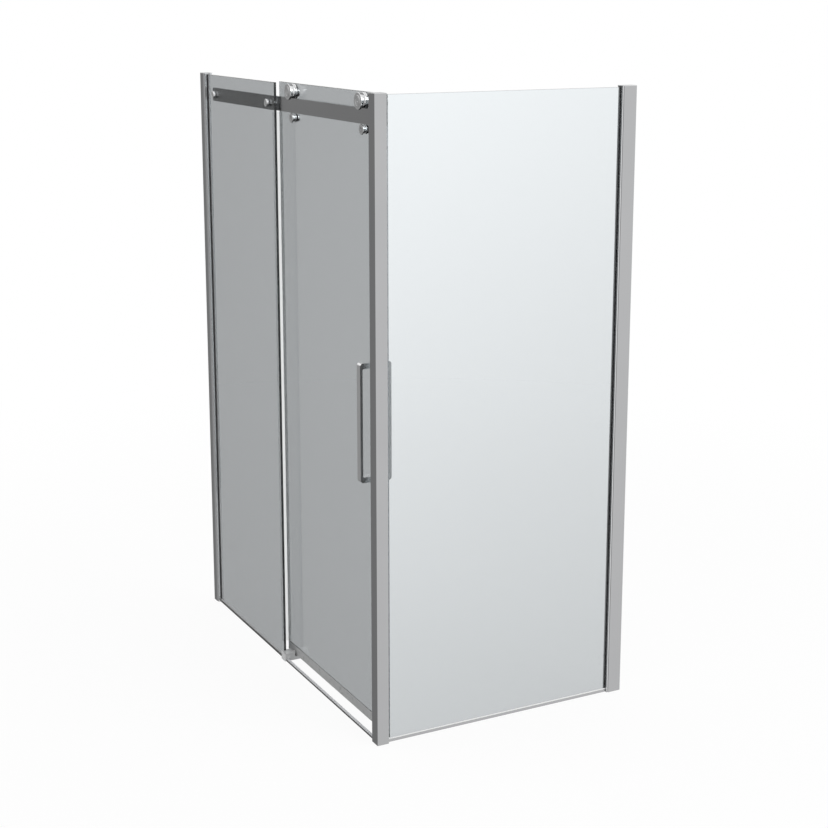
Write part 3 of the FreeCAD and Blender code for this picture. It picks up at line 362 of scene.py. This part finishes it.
def moulded(name, colour, roughness, variation, scale, bump, **inputs):
    """Plastic or rubber with a fine moulded grain."""
    material, nodes, shader = principled(name, **inputs)
    place = nodes.add("ShaderNodeTexCoord").outputs["Object"]
    fine = nodes.add("ShaderNodeTexNoise", in0=place, Scale=scale, Detail=5.0).outputs[0]
    tint = varied(nodes, fine, colour, variation)
    rough = nodes.spread(fine, GLOSSY_NOISE, ROUGH_NOISE, roughness * 0.85, roughness * 1.15)
    finish_surface(nodes, shader, tint, rough, bump, MOULDED_GRAIN, fine)
    return material


def glass():
    """Clear glass, darker where it is seen at a slant; its foot is tinted darker square on, as
    painted shade, and lighter at a slant, as painted light.
    """
    material, nodes, shader = principled("glass", IOR=1.5, Roughness=0.0, Sheen_Weight=0.12,
                                         Sheen_Roughness=0.4, Transmission_Weight=1.0)
    place = nodes.add("ShaderNodeTexCoord").outputs["Object"]
    height = nodes.add("ShaderNodeSeparateXYZ", in0=place).outputs["Z"]
    slant = nodes.add("ShaderNodeLayerWeight", Blend=0.5).outputs["Facing"]
    # Tint by height: painted shade at the foot seen square on, painted light at the foot at a
    # slant.
    square = nodes.spread(height, 0.0, TOP, *SQUARE_CLEAR)
    slanted = nodes.spread(height, 0.0, TOP, *SLANTED_CLEAR)
    shade = nodes.spread(slant, *SLANT_EDGES)
    clear = nodes.blend(shade, square, slanted)
    colour = nodes.add("ShaderNodeCombineColor", Red=nodes.math("MULTIPLY", clear, GLASS_RED),
                       Green=clear, Blue=nodes.math("MULTIPLY", clear, GLASS_BLUE))
    nodes.feed(shader.inputs["Base Color"], colour.outputs[0])
    return material


def make_metals():
    """Metals by the slot or look that they stand for."""
    along_x = (6.0, 900.0, 900.0)
    along_y = (900.0, 6.0, 900.0)
    along_z = (900.0, 900.0, 6.0)
    even = (400.0, 400.0, 400.0)
    aluminium = (0.47, 0.473, 0.48)
    bright = {"roughness": 0.1, "variation": 0.02, "bump": 0.05}
    satin = {"roughness": 0.22, "variation": 0.02, "bump": 0.05}
    return {
        "extrusion": metal("bright_aluminium", aluminium, grain=along_z, **bright),
        # Dark tint as painted shade on the fronts, with faces that look up painted pale as painted
        # light.
        "extrusion_x": metal("aluminium_x_painted_shade_and_light", (0.18, 0.181, 0.184), grain=along_x, painted_top_light=4.2,
                             **bright),
        "extrusion_y": metal("bright_aluminium_y", aluminium, grain=along_y, **bright),
        # A lighter copy of the aluminium for the adjusting profiles, as painted light.
        "polished_profile": metal("polished_profile", (0.68, 0.683, 0.69), grain=along_z,
                                  **bright),
        "chrome": metal("chrome", (0.82, 0.825, 0.83), 0.05, 0.015, even, 0.02),
        "satin_rail": metal("satin_rail", (0.47, 0.473, 0.478), grain=along_x, **satin),
        "satin_handle": metal("satin_handle", (0.87, 0.875, 0.88), 0.2, 0.02, along_z, 0.05),
        # The inner handle is painted darker than the outer one, as painted shade.
        "handle_inside_painted_shade": metal("handle_inside_painted_shade", (0.5, 0.498, 0.495), grain=along_z, **satin),
        "screw_steel": metal("bright_steel", (0.66, 0.665, 0.67), 0.2, 0.04, even, 0.1),
        "bearing_steel": metal("bearing_steel", (0.6, 0.6, 0.61), 0.15, 0.04, even, 0.1),
    }


def make_plastics():
    """Vinyls, rubbers and plastics by the slot or look that they stand for."""
    return {
        "frosted_vinyl": moulded("frosted_vinyl", (0.42, 0.425, 0.425), 0.3, 0.03, 80.0, 0.02,
                                 Coat_Weight=0.3),
        "clear_vinyl": moulded("clear_vinyl", (0.9, 0.91, 0.91), 0.12, 0.02, 300.0, 0.1,
                               Transmission_Weight=0.92, IOR=1.4),
        # White vinyl as a painted highlight along the foot of the side pane.
        "vinyl_painted_highlight": moulded("vinyl_painted_highlight", (0.86, 0.865, 0.865), 0.3, 0.02, 300.0, 0.1),
        "grey_rubber": moulded("grey_rubber", (0.34, 0.34, 0.345), 0.45, 0.06, 700.0, 0.3),
        "dark_rubber": moulded("dark_rubber", (0.05, 0.05, 0.053), 0.45, 0.15, 700.0, 0.3),
        "trim_plastic": moulded("trim_plastic", (0.6, 0.605, 0.61), 0.25, 0.03, 500.0, 0.1),
        "guide_plastic": moulded("guide_plastic", (0.66, 0.665, 0.67), 0.22, 0.04, 500.0, 0.1),
        "nylon": moulded("nylon", (0.82, 0.82, 0.8), 0.45, 0.03, 600.0, 0.15),
    }


def dress_nodes():
    """Give every carried-over node the material of its look or, without one, of its slot."""
    slot_of = {item["node"]: item["material_slot"] for item in RECORD["subparts"]}
    for name, item in NODES.items():
        item.data.materials.clear()
        item.data.materials.append(MATERIALS[LOOKS.get(name, slot_of[name])])


# ---- turned and extruded pieces -------------------------------------------------------------

def hexagon(across):
    """Radius of a hexagon by angle, from its width across flats."""
    sector = math.pi / 3
    return lambda angle: across / 2 / math.cos((angle + sector / 2) % sector - sector / 2)


def cross(width, reach):
    """Radius of a cross recess by angle, from the width and reach of its arms."""
    along_arm = 0.001

    def radius(angle):
        turn = abs((angle + math.pi / 4) % (math.pi / 2) - math.pi / 4)
        end = reach / math.cos(turn)
        return end if turn < along_arm else min(end, width / 2 / math.sin(turn))
    return radius


def turned(mesh, rings, centre, facing):
    """Add a turned form: rings of (radius, height) in mm, where height runs the way it faces.

    A radius is a number, or a function of the angle.
    """
    turn = Vector(facing).to_track_quat("Z", "X")
    loops = []
    for shape, height in rings:
        loop = []
        for number in range(SIDES):
            angle = 2 * math.pi * number / SIDES
            radius = shape(angle) if callable(shape) else shape
            local = Vector((radius * math.cos(angle), radius * math.sin(angle), height)) * MM
            loop.append(mesh.verts.new(Vector(centre) + turn @ local))
        loops.append(loop)
    for low, high in zip(loops, loops[1:]):
        for number in range(SIDES):
            after = (number + 1) % SIDES
            mesh.faces.new((low[number], low[after], high[after], high[number]))
    mesh.faces.new(list(reversed(loops[0])))
    mesh.faces.new(loops[-1])


def run(mesh, outline, start, across, along):
    """Add a length of profile: outline is (across, up) in mm from start, along is its run."""
    ends = []
    for shift in (Vector((0, 0, 0)), Vector(along)):
        ends.append([mesh.verts.new(Vector(start) + shift + Vector(across) * sideways * MM
                                    + Vector((0, 0, up)) * MM) for sideways, up in outline])
    count = len(outline)
    for number in range(count):
        after = (number + 1) % count
        mesh.faces.new((ends[0][number], ends[0][after], ends[1][after], ends[1][number]))
    mesh.faces.new(list(reversed(ends[0])))
    mesh.faces.new(ends[1])


def piece(name, mesh, body, slot, *replaced, look=None):
    """Turn a finished bmesh into a piece that rides on a body, with its slot's material or look."""
    bmesh.ops.recalc_face_normals(mesh, faces=mesh.faces)
    data = bpy.data.meshes.new(name)
    mesh.to_mesh(data)
    mesh.free()
    for face in data.polygons:
        face.use_smooth = True
    data.set_sharp_from_angle(angle=SHARP_ANGLE)
    data.materials.append(MATERIALS[look or slot])
    item = bpy.data.objects.new(name, data)
    bpy.context.scene.collection.objects.link(item)
    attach(item, body)
    if replaced:
        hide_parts(*replaced)


def middle(node):
    """Low corner, high corner and centre of a node's box."""
    low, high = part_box(node)
    return low, high, (low + high) / 2


def make_knobs():
    """Round nuts outside the fixed glass: rolled edge, a ring cut in the face, shallow dome."""
    low, high, centre = middle("rail_knobs")
    radius = (high.z - low.z) / 2
    rings = [(11.7, 0), (12.5, 0.8), (12.5, 6.9), (12.3, 7.35), (11.9, 7.7), (11.4, 7.92),
             (10.8, 8), (9.7, 8), (9.4, 7.7), (9.1, 7.7), (8.8, 8), (6.5, 8.12), (4, 8.2),
             (1.5, 8.23), (0.4, 8.24)]
    mesh = bmesh.new()
    for x in (low.x + radius, high.x - radius):
        turned(mesh, rings, (x, high.y, centre.z), OUTWARD)
    piece("rail_knob_faces", mesh, "enclosure", "chrome", "rail_knobs")


def make_wheel_caps():
    """Discs that close the wheels: rounded rim, fine ring, drilled centre."""
    for side in ("left", "right"):
        node = side + "_wheel_cap"
        low, high, centre = middle(node)
        rim = (high.z - low.z) / 2 / MM
        thick = (high.y - low.y) / MM
        rings = [(rim, 0), (rim, thick - 0.9), (rim - 0.2, thick - 0.5),
                 (rim - 0.6, thick - 0.2), (rim - 1.3, thick), (rim - 3.6, thick + 0.04),
                 (rim - 3.9, thick - 0.25), (rim - 4.3, thick - 0.25), (rim - 4.6, thick + 0.06),
                 (9, thick + 0.14), (5, thick + 0.2), (2.3, thick + 0.22), (2, thick),
                 (1.6, thick - 0.5), (0.3, thick - 0.8)]
        mesh = bmesh.new()
        turned(mesh, rings, (centre.x, high.y, centre.z), OUTWARD)
        piece(side + "_wheel_cap_face", mesh, side + "_roller", "chrome", node)


def make_spool_bolts():
    """Socket-head bolts in the recess of each anti-lift spool."""
    low, high, centre = middle("anti_lift_bolts")
    radius = (high.z - low.z) / 2
    length = (high.y - low.y) / MM
    head_height = 2.1
    rings = [(4, 0), (4, length - head_height), (7.4, length - head_height),
             (7.4, length - 0.5), (7.1, length - 0.15), (6.7, length), (hexagon(5.4), length),
             (hexagon(5), length - 0.25), (hexagon(5), length - 1.6)]
    mesh = bmesh.new()
    for x in (low.x + radius, high.x - radius):
        turned(mesh, rings, (x, high.y, centre.z), OUTWARD)
    piece("spool_socket_bolts", mesh, "door", "screw_steel", "anti_lift_bolts")


def make_cap_nuts():
    """Blind nuts on the inside of the door, each with a ring and a hexagon socket."""
    for node, name in (("roller_cap_nuts", "roller_nut_faces"),
                       ("anti_lift_cap_nuts", "spool_nut_faces")):
        low, high, centre = middle(node)
        rim = (high.z - low.z) / 2 / MM
        thick = (high.y - low.y) / MM
        rings = [(rim - 0.6, 0), (rim, 0.6), (rim, thick - 1.8), (rim - 0.4, thick - 0.9),
                 (rim - 1, thick - 0.3), (rim - 1.8, thick), (rim - 4, thick),
                 (rim - 4.3, thick - 0.3), (rim - 4.7, thick - 0.3), (rim - 5, thick),
                 (hexagon(6.4), thick), (hexagon(6), thick - 0.25), (hexagon(6), thick - 2.2)]
        mesh = bmesh.new()
        for x in (low.x + rim * MM, high.x - rim * MM):
            turned(mesh, rings, (x, low.y, centre.z), INWARD)
        piece(name, mesh, "door", "chrome", node)


def pan_screw(mesh, shank, head, length, head_height, tip, facing):
    """Pan-head screw with a cross recess, from its tip; the head's form is shares of its size."""
    top = length + head_height
    rings = [(shank * 0.4, 0), (shank, 1.2), (shank, length), (head, length),
             (head, length + head_height * 0.45), (head * 0.93, length + head_height * 0.72),
             (head * 0.8, length + head_height * 0.9), (head * 0.66, top),
             (cross(head * 0.34, head * 0.6), top),
             (cross(head * 0.26, head * 0.5), top - head_height * 0.75)]
    turned(mesh, rings, tip, facing)


def make_lock_screws():
    """Screws on the noses of both wall profiles, three on each, at the same heights."""
    low, high, centre = middle("front_lock_screws")
    inset = LOCK_SCREW["head"] * MM
    heights = (low.z + inset, centre.z, high.z - inset)
    mesh = bmesh.new()
    for height in heights:
        pan_screw(mesh, tip=(low.x, centre.y, height), facing=RIGHTWARD, **LOCK_SCREW)
    piece("front_screw_heads", mesh, "enclosure", "screw_steel", "front_lock_screws")
    low, high, centre = middle("side_lock_screws")
    mesh = bmesh.new()
    for height in heights:
        pan_screw(mesh, tip=(centre.x, high.y, height), facing=OUTWARD, **LOCK_SCREW)
    piece("side_screw_heads", mesh, "enclosure", "screw_steel", "side_lock_screws")


def make_rail_screws():
    """Screws on the back of the post that hold the rail's end."""
    low, high, centre = middle("rail_post_screws")
    inset = RAIL_SCREW["head"] * MM
    length = (high.y - low.y) / MM - RAIL_SCREW["head_height"]
    mesh = bmesh.new()
    for height in (low.z + inset, high.z - inset):
        pan_screw(mesh, length=length, tip=(centre.x, low.y, height), facing=INWARD,
                  **RAIL_SCREW)
    piece("rail_screw_heads", mesh, "enclosure", "screw_steel", "rail_post_screws")


def make_guide_cover():
    """Round cover on the end of the bottom guide."""
    low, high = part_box("bottom_guide")
    rings = [(9, -0.5), (9, 0.9), (8.7, 1.4), (8.1, 1.7), (7, 1.8), (6.7, 1.5), (6.2, 1.5),
             (5.9, 1.8), (3, 2), (0.4, 2.05)]
    mesh = bmesh.new()
    turned(mesh, rings, (high.x, low.y + COVER_BACK * MM, low.z + COVER_HEIGHT * MM), RIGHTWARD)
    piece("guide_end_cover", mesh, "enclosure", "guide_plastic")


def make_bottom_seal():
    """Channel seal under the door: thin lips on the pane, ribs along the walls, rounded foot."""
    low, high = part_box("door_bottom_seal")
    wide = (high.y - low.y) / MM
    tall = (high.z - low.z) / MM
    wall = 1.15
    base = 5.95
    outer_wall = [
        (1, tall), (0.6, tall - 0.7), (0.15, tall - 1.3), (0, tall - 2), (0.1, tall - 2.8),
        (0.75, tall - 9.4), (0.2, tall - 10), (0.2, tall - 10.8), (0.6, tall - 11.4),
        (0.6, tall - 17.6), (0.25, tall - 18.2), (0.65, tall - 18.8), (0.05, 4.2), (0, 3),
        (0.1, 1.8), (0.5, 0.8), (1.3, 0.1),
    ]
    underside = [(2.6, 0), (3.1, 0.9), (wide - 3.1, 0.9), (wide - 2.6, 0)]
    inner_wall = [(wide - across, up) for across, up in reversed(outer_wall)]
    pocket = [(wide - wall, tall), (wide - wall, base), (wall, base), (wall, tall)]
    mesh = bmesh.new()
    run(mesh, outer_wall + underside + inner_wall + pocket, low, INWARD,
        (high.x - low.x, 0, 0))
    piece("door_drip_seal", mesh, "door", "clear_vinyl", "door_bottom_seal",
          look="frosted_vinyl")


def make_sill_beads():
    """Soft beads that close the sills against the outer face of each pane."""
    bead = [(0.05, 0.05), (1.3, 0.05), (1.3, 0.9), (0.9, 2.2), (0.3, 3.4), (0.05, 3.5)]
    low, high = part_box("fixed_glass_sill")
    pane_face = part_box("fixed_glass")[0].y
    mesh = bmesh.new()
    run(mesh, bead, (low.x, pane_face, high.z), OUTWARD, (high.x - low.x, 0, 0))
    piece("front_sill_bead", mesh, "enclosure", "clear_vinyl", look="frosted_vinyl")
    low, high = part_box("side_glass_sill")
    pane_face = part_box("side_glass")[1].x
    mesh = bmesh.new()
    run(mesh, bead, (pane_face, low.y, high.z), RIGHTWARD, (0, high.y - low.y, 0))
    # The side bead is painted white, as a painted highlight; the front one is grey.
    piece("side_sill_bead", mesh, "enclosure", "clear_vinyl", look="vinyl_painted_highlight")


def break_edges():
    """Round the sharp edges of extrusions and caps slightly."""
    for node in ("corner_post", "top_rail", "front_wall_channel", "side_wall_channel",
                 "front_adjusting_profile", "side_adjusting_profile", "door_threshold",
                 "post_closing_strip", "front_profile_cap", "side_profile_cap"):
        rounding = NODES[node].modifiers.new("edge_break", "BEVEL")
        rounding.width = EDGE_BREAK * MM
        rounding.segments = 2
        rounding.limit_method = "ANGLE"
        rounding.angle_limit = EDGE_ANGLE


def part_soft_faces():
    """Draw gaskets and seals back by a hair, so that no face of theirs lies in a pane's face."""
    for node in ("front_glazing_gasket", "side_glazing_gasket", "side_post_gasket",
                 "door_closing_seal", "door_overlap_seal", "rail_gaskets", "roller_gaskets",
                 "anti_lift_gaskets", "handle_gaskets"):
        gap = NODES[node].modifiers.new("hair_gap", "DISPLACE")
        gap.strength = -HAIR_GAP * MM
        gap.mid_level = 0.0


# ---- the scene ------------------------------------------------------------------------------

bpy.context.scene.view_settings.view_transform = "Standard"
make_camera()
make_world()
make_floor()
make_lamp("key", place=(3.2, 1.2, 3.6), target=(0.2, 0.0, 1.0), size=2.2, power=60.0)
make_lamp("fill", place=(-2.5, -3.5, 2.6), target=(-0.2, -0.3, 1.0), size=2.0, power=30.0,
          glossy=False)
MATERIALS = {**make_metals(), "glass": glass(), **make_plastics()}
dress_nodes()
make_knobs()
make_wheel_caps()
make_spool_bolts()
make_cap_nuts()
make_lock_screws()
make_rail_screws()
make_guide_cover()
make_bottom_seal()
make_sill_beads()
break_edges()
part_soft_faces()
